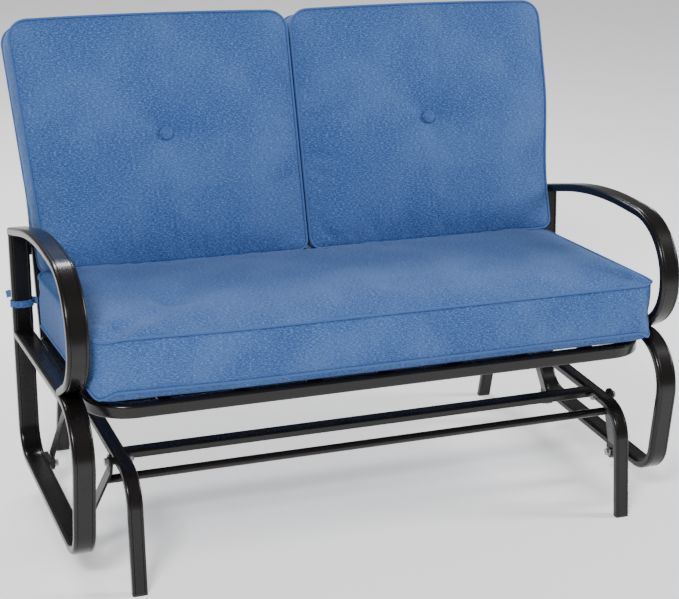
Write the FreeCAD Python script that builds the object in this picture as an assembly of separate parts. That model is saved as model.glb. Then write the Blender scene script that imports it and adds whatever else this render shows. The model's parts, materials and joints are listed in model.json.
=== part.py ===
import FreeCAD, Part
import math
import os

# Two-seat patio glider: a floor base of two arches, four swinging hangers, and a
# cushioned loveseat that hangs from them. Millimetres. X is across the seat, the
# front is -Y, +Z is up. The origin is on the floor under the middle of the piece.

Vector = FreeCAD.Vector
ACROSS = Vector(1, 0, 0)
REARWARD = Vector(0, 1, 0)
UP = Vector(0, 0, 1)
SIDES = {"left": -1, "right": 1}

# Side frames: one bent flat-oval tube and one arm tube on each side.
OVERALL_WIDTH = 1200.0
SIDE_TUBE = {"width": 40.0, "thick": 16.0, "edge": 5.5, "groove": 13.0}
SIDE_X = (OVERALL_WIDTH - SIDE_TUBE["width"]) / 2
GROOVE_HALF = 1.1
GROOVE_DEPTH = 0.9
BOTTOM_RAIL_Z = 68.0
SEAT_SLOPE = 0.08
SEAT_RAIL_Z = 338.0
SEAT_RAIL_Y = -200.0
POST_LEAN = 0.128
POST_Y = 205.0
POST_Z = 161.0
POST_TOP_Z = 503.0
FRONT_RUN_Y = -275.0
FRONT_RUN_LEAN = -0.053
REAR_BEND = 62.0
LOWER_FRONT_BEND = 54.0
UPPER_FRONT_BEND = 96.0
ARM_REAR = (259.0, 505.0)
ARM_TOP_CORNER = (34.0, 571.0)
ARM_TOP_BEND = 842.0
ARM_FRONT_Y = -255.0
ARM_FRONT_BEND = 122.0
ARM_TAIL_CORNER_Z = 398.6
ARM_TAIL_BEND = 91.0
ARM_TAIL_END = (-165.0, 342.4)

# Base: two arches, two crossbars, four caps.
BASE_HALF_WIDTH = 504.0
BASE_TUBE = {"width": 28.0, "thick": 15.0, "edge": 4.0, "groove": 8.5}
BASE_X = BASE_HALF_WIDTH - BASE_TUBE["width"] / 2
FOOT_Y = 309.5
FOOT_SPLAY = 0.18
ARCH_Z = 208.5
ARCH_BEND = 64.0
CAP_HEIGHT = 4.0
FRONT_CROSSBAR_Y = -163.5
REAR_CROSSBAR_Y = 190.0

# Hangers: cranked flat bars on bushes, joined in pairs by a round rod.
HANGER_LENGTH = 150.2
FRONT_UPPER_Y = -190.0
FRONT_LOWER_Y = -157.0
REAR_LOWER_Y = 133.0
REAR_UPPER_Y = 139.65
HANGER_UPPER_X = 511.5
HANGER_LOWER_X = 548.5
HANGER_THICK = 5.0
HANGER_RADIUS = 13.0
CRANK_INSET = 20.0
ROD_RADIUS = 8.0
ROD_SHARE = 0.27
BOLT_RADIUS = 4.0
BUSH = {"radius": 6.0, "flange": 9.0, "bore": BOLT_RADIUS + 0.05}
LOOSE_BUSH = {"radius": 8.0, "flange": 10.5, "bore": BOLT_RADIUS + 1.85}
BUSH_FIT = 0.03
FLANGE_THICK = 1.0
SIDE_GAP = 0.3
STATIC_GAP = 0.1
BOSS_RADIUS = 7.0
HEAD_RADIUS = 7.0
HEAD_HEIGHT = 5.0
WASHER_RADIUS = 8.5
WASHER_THICK = 1.5

# Seat deck and back frame.
DECK_Z = 325.0
DECK_TUBE = 25.0
DECK_HALF_WIDTH = 556.0
DECK_FRONT_Y = -258.0
DECK_REAR_Y = 214.5
DECK_FRONT_BEND = 70.0
DECK_REAR_BEND = 30.0
SLAT_WIDTH = 30.0
SLAT_THICK = 3.0
SLAT_COUNT = 7
SLAT_PITCH = 140.0
STIFFENER = 20.0
TAB_THICK = 4.0
TAB_LENGTH = 40.0
TAB_Y = (-120.0, 120.0)
RECLINE = 20.8
BACK_ORIGIN = (185.0, 456.0)
BACK_FRAME_OFFSET = 95.0
BACK_HALF_WIDTH = 548.0
BACK_TUBE_WIDTH = 25.0
BACK_TUBE_THICK = 18.0
BACK_TOP = 412.0
BACK_FOOT = -150.0
BACK_CORNER = 60.0
BACK_LOWER_RAIL = 15.0
BACK_BAR_WIDTH = 18.0
BACK_BAR_THICK = 4.0
BACK_BAR_COUNT = 9
BACK_BAR_PITCH = 107.0
BRACE_Z = 470.0
BRACE_THICK = 4.0

# Cushions.
SEAT_CUSHION_HALF = 551.0
SEAT_CUSHION_FRONT = -256.0
SEAT_CUSHION_REAR = 214.0
SEAT_CUSHION_THICK = 122.0
BACK_CUSHION_INNER = 4.0
BACK_CUSHION_LOWER = 555.0
BACK_CUSHION_UPPER = 573.0
BACK_CUSHION_HEIGHT = 464.0
BACK_CUSHION_WIDENS = (110.0, 190.0)
BACK_CUSHION_THICK = 85.0
BACK_CUSHION_CROWN = 22.0
BUTTON_RADIUS = 14.0
BUTTON_HEIGHT = 9.0
TIE_WIDTH = 14.0
TIE_THICK = 2.0


def in_yz(y, z, x=0.0):
    return Vector(x, y, z)


PIECES = {}


def save(name, shape):
    PIECES[name] = shape


def export_all():
    """Writes every piece, moved so that the whole is centred from front to back."""
    whole = Part.makeCompound(list(PIECES.values())).optimalBoundingBox(False, False)
    shift = Vector(0, -(whole.YMin + whole.YMax) / 2, 0)
    print("shift", round(shift.y, 3), "size", whole.XLength, whole.YLength, whole.ZLength)
    print("lowest", whole.ZMin, "sides", whole.XMin, whole.XMax)
    for name, shape in PIECES.items():
        placed = shape.copy()
        placed.translate(shift)
        placed.exportStep("parts/" + name + ".step")
        volume = round(shape.Volume / 1000.0, 1)
        print(name, "solids", len(shape.Solids), "valid", shape.isValid(), "cm3", volume)


def group(shapes):
    return Part.makeCompound(shapes)


def largest(shape):
    """The main solid of a cut that may leave crumbs behind."""
    return max(shape.Solids, key=lambda solid: solid.Volume)


def cylinder_x(radius, start_x, end_x, y, z):
    low = min(start_x, end_x)
    return Part.makeCylinder(radius, abs(end_x - start_x), Vector(low, y, z), ACROSS)


def box(low, high):
    size = high - low
    return Part.makeBox(size.x, size.y, size.z, low)


def side_box(side, inner_x, outer_x, y_and_half, z_range):
    """A box on one side, between two distances from the middle plane."""
    y, half = y_and_half
    low = Vector(min(side * inner_x, side * outer_x), y - half, z_range[0])
    high = Vector(max(side * inner_x, side * outer_x), y + half, z_range[1])
    return box(low, high)


def bent_path(corners, radii):
    """Straight runs joined by tangent arcs, one radius for each inner corner."""
    edges = []
    start = corners[0]
    for before, corner, after, radius in zip(corners, corners[1:], corners[2:], radii):
        back = (before - corner).normalize()
        ahead = (after - corner).normalize()
        half_turn = back.getAngle(ahead) / 2
        inward = (back + ahead).normalize()
        centre = corner + inward * (radius / math.sin(half_turn))
        arc_start = corner + back * (radius / math.tan(half_turn))
        arc_end = corner + ahead * (radius / math.tan(half_turn))
        if start.distanceToPoint(arc_start) > 0.01:
            edges.append(Part.LineSegment(start, arc_start).toShape())
        edges.append(Part.Arc(arc_start, centre - inward * radius, arc_end).toShape())
        start = arc_end
    edges.append(Part.LineSegment(start, corners[-1]).toShape())
    return Part.Wire(edges)


def flat_tube_outline(origin, wide, thick_way, tube):
    """A flat tube's outline: rounded edges and a fine groove near each of them."""
    half = tube["thick"] / 2
    radius = tube["edge"]
    groove = tube["groove"]
    edge = tube["width"] / 2
    flat = edge - radius
    turn = radius * math.sqrt(0.5)

    def at(a, b):
        return origin + wide * a + thick_way * b

    def grooved_face(sign):
        surface = sign * half
        bottom = sign * (half - GROOVE_DEPTH)
        stops = [-flat, -groove - GROOVE_HALF, -groove, -groove + GROOVE_HALF]
        stops += [groove - GROOVE_HALF, groove, groove + GROOVE_HALF, flat]
        depths = [surface, surface, bottom, surface, surface, bottom, surface, surface]
        points = [at(sign * a, b) for a, b in zip(stops, depths)]
        return [Part.LineSegment(p, q).toShape() for p, q in zip(points, points[1:])]

    def rounded_edge(sign):
        first = at(sign * flat, sign * half)
        first_mid = at(sign * (flat + turn), sign * (half - radius + turn))
        first_end = at(sign * edge, sign * (half - radius))
        second = at(sign * edge, sign * (radius - half))
        second_mid = at(sign * (flat + turn), sign * (radius - half - turn))
        second_end = at(sign * flat, sign * -half)
        return [
            Part.Arc(first, first_mid, first_end).toShape(),
            Part.LineSegment(first_end, second).toShape(),
            Part.Arc(second, second_mid, second_end).toShape(),
        ]

    return Part.Wire(grooved_face(1) + rounded_edge(1) + grooved_face(-1) + rounded_edge(-1))


def soft_rectangle(origin, wide, high, width, height, radius):
    a = width / 2
    b = height / 2
    signs = [(-1, -1), (1, -1), (1, 1), (-1, 1)]
    corners = [origin + wide * (a * i) + high * (b * j) for i, j in signs]
    middle = (corners[0] + corners[1]) * 0.5
    return bent_path([middle] + corners[1:] + [corners[0], middle], [radius] * 4)


def sweep(path, outline, steady):
    """Sweeps an outline along a path; steady is the direction that never turns."""
    pipe = Part.BRepOffsetAPI.MakePipeShell(path)
    pipe.setBiNormalMode(steady)
    pipe.add(outline)
    pipe.build()
    pipe.makeSolid()
    solid = Part.Solid(pipe.shape())
    if solid.Volume < 0:
        solid.reverse()
    return solid


def flat_tube(path, centre_x, tube):
    """A flat-oval tube that bends in an upright plane, its width lying across."""
    first = path.OrderedEdges[0]
    tangent = first.tangentAt(first.FirstParameter)
    normal = tangent.cross(ACROSS)
    origin = path.OrderedVertexes[0].Point
    solid = sweep(path, flat_tube_outline(origin, ACROSS, normal, tube), ACROSS)
    solid.translate(ACROSS * centre_x)
    return solid


def side_tube(path, side):
    return flat_tube(path, side * SIDE_X, SIDE_TUBE)


# Side frames ---------------------------------------------------------------

def seat_rail_z(y):
    return SEAT_RAIL_Z - SEAT_SLOPE * (y - SEAT_RAIL_Y)


def post_y(z):
    return POST_Y + POST_LEAN * (z - POST_Z)


def front_run_y(z):
    return FRONT_RUN_Y + FRONT_RUN_LEAN * (z - BOTTOM_RAIL_Z)


def make_side_loop(side, arm):
    """The rear post, bottom rail, front bend and seat side rail, bent from one tube."""
    front_top_z = seat_rail_z(front_run_y(SEAT_RAIL_Z))
    rear_join_y = post_y(seat_rail_z(post_y(SEAT_RAIL_Z)))
    corners = [
        in_yz(post_y(POST_TOP_Z), POST_TOP_Z),
        in_yz(post_y(BOTTOM_RAIL_Z), BOTTOM_RAIL_Z),
        in_yz(FRONT_RUN_Y, BOTTOM_RAIL_Z),
        in_yz(front_run_y(front_top_z), front_top_z),
        in_yz(0, seat_rail_z(0)),
    ]
    bends = [REAR_BEND, LOWER_FRONT_BEND, UPPER_FRONT_BEND]
    bent = side_tube(bent_path(corners, bends), side)
    ends = [in_yz(0, seat_rail_z(0)), in_yz(rear_join_y, seat_rail_z(rear_join_y))]
    rail = side_tube(bent_path(ends, []), side)
    reach = Vector(0, 150, POST_TOP_Z - 40)
    arm_rear = arm.common(Part.makeBox(2000, 200, 200, reach - ACROSS * 1000))
    return bent.fuse(rail).Solids[0].cut(arm_rear)


def make_arm(side):
    """An arm tube: a long rise from the post, a round front, and a tail on the loop."""
    corners = [
        in_yz(*ARM_REAR),
        in_yz(*ARM_TOP_CORNER),
        in_yz(ARM_FRONT_Y, ARM_TOP_CORNER[1]),
        in_yz(ARM_FRONT_Y, ARM_TAIL_CORNER_Z),
        in_yz(*ARM_TAIL_END),
    ]
    return side_tube(bent_path(corners, [ARM_TOP_BEND, ARM_FRONT_BEND, ARM_TAIL_BEND]), side)


def trim_arm_tail(arm, loop):
    front_of_loop = loop.common(box(Vector(-1000, -400, 0), Vector(1000, 0, 450)))
    return arm.cut(front_of_loop)


def make_side_frames():
    for name, side in SIDES.items():
        arm = make_arm(side)
        loop = make_side_loop(side, arm)
        save("side_loop_" + name, loop)
        save("armrest_" + name, trim_arm_tail(arm, loop))


# Base ----------------------------------------------------------------------

def make_arch_with_feet(side):
    """A base arch run on below the floor, so that its feet can be cut level."""
    below = -20.0
    corners = [
        in_yz(-FOOT_Y + FOOT_SPLAY * below, below),
        in_yz(-FOOT_Y + FOOT_SPLAY * ARCH_Z, ARCH_Z),
        in_yz(FOOT_Y - FOOT_SPLAY * ARCH_Z, ARCH_Z),
        in_yz(FOOT_Y - FOOT_SPLAY * below, below),
    ]
    path = bent_path(corners, [ARCH_BEND, ARCH_BEND])
    return flat_tube(path, side * BASE_X, BASE_TUBE)


def make_crossbar(y, arches):
    reach = BASE_HALF_WIDTH - BASE_TUBE["width"] + 3.5
    outline = flat_tube_outline(Vector(-reach, y, ARCH_Z), REARWARD, UP, BASE_TUBE)
    bar = Part.Face(outline).extrude(ACROSS * (2 * reach))
    return largest(bar.cut(arches))


def upper_pivots():
    """Side and place of the four upper pivots: side sign, y, z."""
    return [(side, y, ARCH_Z) for y in (FRONT_UPPER_Y, REAR_UPPER_Y) for side in SIDES.values()]


def make_base():
    whole = {name: make_arch_with_feet(side) for name, side in SIDES.items()}
    holes = group([
        cylinder_x(BOLT_RADIUS + STATIC_GAP, side * (BASE_X - 20), side * (BASE_X + 20), y, z)
        for side, y, z in upper_pivots()
    ])
    below_caps = box(Vector(-1000, -400, -50), Vector(1000, 400, CAP_HEIGHT))
    cap_slab = box(Vector(-1000, -400, 0), Vector(1000, 400, CAP_HEIGHT))
    for name, arch in whole.items():
        save("base_arch_" + name, arch.cut(below_caps).cut(holes))
    save("foot_caps", group([arch.common(cap_slab) for arch in whole.values()]))
    both = group(list(whole.values()))
    save("base_crossbar_front", make_crossbar(FRONT_CROSSBAR_Y, both))
    save("base_crossbar_rear", make_crossbar(REAR_CROSSBAR_Y, both))
    make_upper_pivot_hardware(both)


def hexagon(radius, start_x, end_x, y, z):
    angles = [math.radians(60 * k) for k in range(7)]
    points = [in_yz(y + radius * math.cos(a), z + radius * math.sin(a), start_x) for a in angles]
    return Part.Face(Part.makePolygon(points)).extrude(ACROSS * (end_x - start_x))


def make_upper_pivot_hardware(arches):
    """Bosses welded to the arches, and the bolts and nuts that the bushes turn on."""
    bosses = []
    bolts = []
    nuts = []
    boss_start = BASE_HALF_WIDTH - BASE_TUBE["edge"]
    boss_end = HANGER_UPPER_X - HANGER_THICK / 2 - FLANGE_THICK - SIDE_GAP
    washer_x = HANGER_UPPER_X + HANGER_THICK / 2 + FLANGE_THICK + SIDE_GAP
    nut_x = BASE_HALF_WIDTH - BASE_TUBE["width"]
    for side, y, z in upper_pivots():
        boss = cylinder_x(BOSS_RADIUS, side * boss_start, side * boss_end, y, z).cut(arches)
        bore = cylinder_x(BOLT_RADIUS + STATIC_GAP, side * BASE_X, side * washer_x, y, z)
        bosses.append(largest(boss.cut(bore)))
        shank = cylinder_x(BOLT_RADIUS, side * (nut_x - 8), side * washer_x, y, z)
        washer = cylinder_x(WASHER_RADIUS, side * washer_x, side * (washer_x + WASHER_THICK), y, z)
        head_x = washer_x + WASHER_THICK
        head = hexagon(HEAD_RADIUS, side * head_x, side * (head_x + HEAD_HEIGHT), y, z)
        bolts.append(shank.fuse(washer).fuse(head).removeSplitter())
        nut = hexagon(HEAD_RADIUS, side * (nut_x - 6), side * nut_x, y, z)
        nuts.append(nut.cut(shank))
    save("pivot_bosses", group(bosses))
    save("upper_pivot_bolts", group(bolts))
    save("upper_pivot_nuts", group(nuts))


# Hangers -------------------------------------------------------------------

def lower_pivot_z(upper_y, lower_y):
    """The hangers are all the same length, so the lean sets how low each one ends."""
    return ARCH_Z - math.sqrt(HANGER_LENGTH ** 2 - (upper_y - lower_y) ** 2)


def hanger_pivots(end):
    if end == "front":
        upper_y, lower_y = FRONT_UPPER_Y, FRONT_LOWER_Y
    else:
        upper_y, lower_y = REAR_UPPER_Y, REAR_LOWER_Y
    return Vector(0, upper_y, ARCH_Z), Vector(0, lower_y, lower_pivot_z(upper_y, lower_y))


def hanger_outline(upper, lower):
    """The bar seen from the side: two round ends joined by straight edges."""
    along = (lower - upper).normalize()
    aside = along.cross(ACROSS) * HANGER_RADIUS
    tip = along * HANGER_RADIUS
    edges = [
        Part.LineSegment(upper + aside, lower + aside).toShape(),
        Part.Arc(lower + aside, lower + tip, lower - aside).toShape(),
        Part.LineSegment(lower - aside, upper - aside).toShape(),
        Part.Arc(upper - aside, upper - tip, upper + aside).toShape(),
    ]
    return Part.Face(Part.Wire(edges))


def cranked_strip(side, upper, lower):
    """The bar seen from the front: flat at both ends with a slanted middle."""
    middle = [
        (HANGER_UPPER_X, upper.z + 2 * HANGER_RADIUS),
        (HANGER_UPPER_X, upper.z - CRANK_INSET),
        (HANGER_LOWER_X, lower.z + CRANK_INSET),
        (HANGER_LOWER_X, lower.z - 2 * HANGER_RADIUS),
    ]
    half = HANGER_THICK / 2
    front_y = min(upper.y, lower.y) - 2 * HANGER_RADIUS
    outer = [Vector(side * (x + half), front_y, z) for x, z in middle]
    inner = [Vector(side * (x - half), front_y, z) for x, z in reversed(middle)]
    depth = abs(upper.y - lower.y) + 4 * HANGER_RADIUS
    return Part.Face(Part.makePolygon(outer + inner + outer[:1])).extrude(REARWARD * depth)


def make_hanger_bar(side, upper, lower, lower_bush):
    profile = hanger_outline(upper, lower)
    profile.translate(ACROSS * -700)
    bar = cranked_strip(side, upper, lower).common(profile.extrude(ACROSS * 1400))
    for pivot, bush in ((upper, BUSH), (lower, lower_bush)):
        bar = bar.cut(cylinder_x(bush["radius"] + BUSH_FIT, -700, 700, pivot.y, pivot.z))
    return bar


def make_bush(side, centre_x, pivot, bush):
    """A flanged nylon bush in two halves, pressed together through the bar."""
    half = HANGER_THICK / 2
    outside = half + FLANGE_THICK
    low = side * (centre_x - outside)
    high = side * (centre_x + outside)
    sleeve = cylinder_x(bush["radius"], low, high, pivot.y, pivot.z)
    inner = cylinder_x(bush["flange"], low, side * (centre_x - half), pivot.y, pivot.z)
    outer = cylinder_x(bush["flange"], side * (centre_x + half), high, pivot.y, pivot.z)
    bore = cylinder_x(bush["bore"], low - side, high + side, pivot.y, pivot.z)
    return sleeve.fuse(inner).fuse(outer).removeSplitter().cut(bore)


def make_hangers():
    for end, lower_bush in (("front", BUSH), ("rear", LOOSE_BUSH)):
        upper, lower = hanger_pivots(end)
        bars = {}
        for name, side in SIDES.items():
            bars[name] = make_hanger_bar(side, upper, lower, lower_bush)
            save(end + "_hanger_bar_" + name, bars[name])
        rod_at = upper + (lower - upper) * ROD_SHARE
        drop = (upper.z - CRANK_INSET - rod_at.z) / (upper.z - lower.z - 2 * CRANK_INSET)
        rod_x = HANGER_UPPER_X + drop * (HANGER_LOWER_X - HANGER_UPPER_X)
        long_rod = cylinder_x(ROD_RADIUS, -rod_x - 5, rod_x + 5, rod_at.y, rod_at.z)
        save(end + "_hanger_rod", largest(long_rod.cut(group(list(bars.values())))))
        for height, centre_x, pivot, bush in (
            ("upper", HANGER_UPPER_X, upper, BUSH),
            ("lower", HANGER_LOWER_X, lower, lower_bush),
        ):
            bushes = [make_bush(side, centre_x, pivot, bush) for side in SIDES.values()]
            save(end + "_hanger_bushes_" + height, group(bushes))


def make_lower_brackets():
    """Lobed plates welded inside the bottom rails, with a stud for each hanger."""
    plate_x = HANGER_LOWER_X + HANGER_THICK / 2 + FLANGE_THICK + SIDE_GAP
    stud_end = HANGER_LOWER_X - HANGER_THICK / 2 - FLANGE_THICK - SIDE_GAP
    nuts = []
    for name, side in SIDES.items():
        loop = make_side_loop(side, make_arm(side))
        for end in ("front", "rear"):
            pivot = hanger_pivots(end)[1]
            plate = make_bracket_plate(side, plate_x, pivot)
            stud = cylinder_x(BOLT_RADIUS, side * plate_x, side * (stud_end - 6), pivot.y, pivot.z)
            bracket = largest(plate.fuse(stud).removeSplitter().cut(loop))
            save("lower_bracket_" + end + "_" + name, bracket)
            washer_end = stud_end - WASHER_THICK
            washer = cylinder_x(WASHER_RADIUS, side * stud_end, side * washer_end, pivot.y, pivot.z)
            nut = hexagon(HEAD_RADIUS, side * washer_end, side * (washer_end - 6), pivot.y, pivot.z)
            capped = washer.fuse(nut).removeSplitter()
            nuts.append(capped.cut(stud))
    save("lower_pivot_nuts", group(nuts))


def make_bracket_plate(side, plate_x, pivot):
    """A round lobe about the pivot, run back into the middle of the bottom rail."""
    lobe = cylinder_x(HANGER_RADIUS + 1, side * plate_x, side * (SIDE_X - 15), pivot.y, pivot.z)
    foot_low = Vector(min(side * plate_x, side * SIDE_X), pivot.y - 24, BOTTOM_RAIL_Z - 6)
    foot_high = Vector(max(side * plate_x, side * SIDE_X), pivot.y + 24, BOTTOM_RAIL_Z + 6)
    return lobe.fuse(box(foot_low, foot_high)).removeSplitter()


# Seat deck -----------------------------------------------------------------

def tilt_deck(shape):
    """Turns a level deck part to the seat's slope and lifts it to its place."""
    tilted = shape.copy()
    tilted.rotate(Vector(0, 0, 0), ACROSS, -math.degrees(math.atan(SEAT_SLOPE)))
    tilted.translate(Vector(0, 0, DECK_Z + SEAT_SLOPE * SEAT_RAIL_Y))
    return tilted


def make_deck_ring():
    half = DECK_HALF_WIDTH - DECK_TUBE / 2
    front = DECK_FRONT_Y + DECK_TUBE / 2
    rear = DECK_REAR_Y - DECK_TUBE / 2
    start = Vector(0, rear, 0)
    corners = [
        start,
        Vector(half, rear, 0),
        Vector(half, front, 0),
        Vector(-half, front, 0),
        Vector(-half, rear, 0),
        start,
    ]
    bends = [DECK_REAR_BEND, DECK_FRONT_BEND, DECK_FRONT_BEND, DECK_REAR_BEND]
    outline = soft_rectangle(start, REARWARD, UP, DECK_TUBE, DECK_TUBE, 5)
    return sweep(bent_path(corners, bends), outline, UP)


def make_deck():
    ring = make_deck_ring()
    save("seat_deck_ring", tilt_deck(ring).cut(deck_bolt_holes()).cut(foot_bolt_holes()))
    top = DECK_TUBE / 2 - 1
    for number in range(SLAT_COUNT):
        x = (number - (SLAT_COUNT - 1) / 2) * SLAT_PITCH
        low = Vector(x - SLAT_WIDTH / 2, DECK_FRONT_Y + 5, top - SLAT_THICK)
        high = Vector(x + SLAT_WIDTH / 2, DECK_REAR_Y - 5, top)
        save("seat_slat_" + str(number + 1), tilt_deck(box(low, high).cut(ring)))
    low = Vector(-DECK_HALF_WIDTH + 5, -STIFFENER / 2, top - SLAT_THICK - STIFFENER)
    high = Vector(DECK_HALF_WIDTH - 5, STIFFENER / 2, top - SLAT_THICK)
    save("seat_stiffener", tilt_deck(box(low, high).cut(ring)))


def tab_centres():
    """The middle of each tab's bolt hole: side sign, y, z."""
    drop = 10.0
    return [(side, y, seat_rail_z(y) - drop - 8) for side in SIDES.values() for y in TAB_Y]


def deck_bolt_holes():
    inner = DECK_HALF_WIDTH - DECK_TUBE - 5
    return group([
        cylinder_x(3.1, side * inner, side * SIDE_X, y, z) for side, y, z in tab_centres()
    ])


def make_tabs_and_bolts():
    """Tabs under the side rails, and the bolts that hold the deck between them."""
    bolts = []
    nuts = []
    inner = DECK_HALF_WIDTH - DECK_TUBE
    for name, side in SIDES.items():
        loop = make_side_loop(side, make_arm(side))
        tabs = []
        for tab_side, y, z in tab_centres():
            if tab_side != side:
                continue
            outer = DECK_HALF_WIDTH + TAB_THICK
            plate = side_box(side, DECK_HALF_WIDTH, outer, (y, TAB_LENGTH / 2), (z - 12, z + 20))
            lug = side_box(side, DECK_HALF_WIDTH, outer + 6, (y, TAB_LENGTH / 2), (z + 6, z + 20))
            hole = cylinder_x(3.1, side * inner, side * SIDE_X, y, z)
            tabs.append(plate.fuse(lug).removeSplitter().cut(loop).cut(hole))
            shank = cylinder_x(3.0, side * (inner - 1), side * (outer + 7), y, z)
            head = hexagon(5.5, side * (inner - 4), side * inner, y, z)
            bolts.append(shank.fuse(head).removeSplitter())
            nut = hexagon(5.5, side * outer, side * (outer + 5), y, z)
            nuts.append(nut.cut(shank))
        save("deck_tabs_" + name, group(tabs))
    save("deck_bolts", group(bolts))
    save("deck_nuts", group(nuts))


# Back frame ----------------------------------------------------------------

RECLINE_SIN = math.sin(math.radians(RECLINE))
RECLINE_COS = math.cos(math.radians(RECLINE))
BACK_UP = Vector(0, RECLINE_SIN, RECLINE_COS)
BACK_OUT = Vector(0, RECLINE_COS, -RECLINE_SIN)
BACK_ZERO = Vector(0, *BACK_ORIGIN)


def on_back(x, up, out):
    """A point by its place on the reclined back: across, up it, and out behind it."""
    return BACK_ZERO + ACROSS * x + BACK_UP * up + BACK_OUT * out


def make_back_frame():
    out = BACK_FRAME_OFFSET
    half = BACK_HALF_WIDTH - BACK_TUBE_WIDTH / 2
    corners = [
        on_back(-half, BACK_FOOT, out),
        on_back(-half, BACK_TOP, out),
        on_back(half, BACK_TOP, out),
        on_back(half, BACK_FOOT, out),
    ]
    outline = soft_rectangle(corners[0], ACROSS, BACK_OUT, BACK_TUBE_WIDTH, BACK_TUBE_THICK, 6)
    hoop = sweep(bent_path(corners, [BACK_CORNER, BACK_CORNER]), outline, BACK_OUT)
    save("back_hoop", hoop.cut(foot_bolt_holes()).cut(brace_bolt_holes()))
    rail_start = on_back(-half, BACK_LOWER_RAIL, out)
    rail_outline = soft_rectangle(rail_start, BACK_UP, BACK_OUT, 20, 14, 5)
    rail = Part.Face(rail_outline).extrude(ACROSS * (2 * half)).cut(hoop)
    save("back_lower_rail", rail)
    bars = []
    for number in range(BACK_BAR_COUNT):
        x = (number - (BACK_BAR_COUNT - 1) / 2) * BACK_BAR_PITCH
        outline = soft_rectangle(
            on_back(x, BACK_LOWER_RAIL, out), ACROSS, BACK_OUT, BACK_BAR_WIDTH, BACK_BAR_THICK, 1.5
        )
        bar = Part.Face(outline).extrude(BACK_UP * (BACK_TOP - BACK_LOWER_RAIL))
        bars.append(bar.cut(hoop).cut(rail))
    save("back_bars", group(bars))


def stile_at(z):
    """Where the stiles' middle line passes a height."""
    up = (z - BACK_ZERO.z + BACK_FRAME_OFFSET * RECLINE_SIN) / RECLINE_COS
    return on_back(0, up, BACK_FRAME_OFFSET)


def stile_x():
    return BACK_HALF_WIDTH - BACK_TUBE_WIDTH / 2


def foot_bolt_place():
    """Where a stile's foot laps the back of the deck's rear rail."""
    deck_rear_z = DECK_Z - SEAT_SLOPE * (DECK_REAR_Y - SEAT_RAIL_Y)
    return stile_at(deck_rear_z)


def foot_bolt_holes():
    holes = []
    for side in SIDES.values():
        foot = foot_bolt_place() + ACROSS * (side * stile_x())
        holes.append(Part.makeCylinder(3.1, 36, foot - REARWARD * 18, REARWARD))
    return group(holes)


def brace_bolt_holes():
    brace = stile_at(BRACE_Z)
    sides = SIDES.values()
    return group([cylinder_x(3.1, side * 500, side * 560, brace.y, brace.z) for side in sides])


def make_back_braces():
    """Flat bars from the tops of the rear posts back to the stiles, with their bolts."""
    bolts = []
    nuts = []
    inner = BACK_HALF_WIDTH - BACK_TUBE_WIDTH
    face_x = SIDE_X - SIDE_TUBE["width"] / 2
    strap_x = face_x - BRACE_THICK
    stile = stile_at(BRACE_Z)
    front_y = post_y(BRACE_Z) - 4
    middle_y = (front_y + stile.y + 12) / 2
    half = (stile.y + 12 - front_y) / 2
    heights = (BRACE_Z - 10, BRACE_Z + 10)
    for name, side in SIDES.items():
        strap = side_box(side, strap_x, face_x, (middle_y, half), heights)
        lug = side_box(side, strap_x, face_x + 6, (front_y + 4, 4), heights)
        spacer = cylinder_x(7, side * BACK_HALF_WIDTH, side * strap_x, stile.y, stile.z)
        loop = make_side_loop(side, make_arm(side))
        hole = cylinder_x(3.1, side * inner, side * (face_x + 1), stile.y, stile.z)
        brace = strap.fuse(lug).fuse(spacer).removeSplitter()
        save("back_brace_" + name, brace.cut(loop).cut(hole))
        shank = cylinder_x(3.0, side * (inner - 7), side * (face_x + 1), stile.y, stile.z)
        head = hexagon(5.5, side * face_x, side * (face_x + 4), stile.y, stile.z)
        bolts.append(shank.fuse(head).removeSplitter())
        nut = hexagon(5.5, side * (inner - 5), side * inner, stile.y, stile.z)
        nuts.append(nut.cut(shank))
    save("brace_bolts", group(bolts))
    save("brace_nuts", group(nuts))
    make_foot_bolts()


def make_foot_bolts():
    """The head stands off by the slope of the reclined stile under its rim."""
    bolts = []
    stand_off = 2.3
    for side in SIDES.values():
        place = foot_bolt_place() + ACROSS * (side * stile_x())
        behind = place + REARWARD * (BACK_TUBE_THICK / 2 / RECLINE_COS + stand_off)
        shank = Part.makeCylinder(3.0, 28, behind - REARWARD * 28, REARWARD)
        head = Part.makeCylinder(5.5, 4, behind, REARWARD)
        bolts.append(shank.fuse(head).removeSplitter())
    save("foot_bolts", group(bolts))


# Cushions ------------------------------------------------------------------

def rounded(shape, radius):
    return shape.makeFillet(radius, shape.Edges)


def make_seat_cushion():
    bottom = DECK_TUBE / 2 + 0.5
    low = Vector(-SEAT_CUSHION_HALF, SEAT_CUSHION_FRONT, bottom)
    high = Vector(SEAT_CUSHION_HALF, SEAT_CUSHION_REAR, bottom + SEAT_CUSHION_THICK)
    save("seat_cushion", tilt_deck(rounded(box(low, high), 30)))


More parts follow.
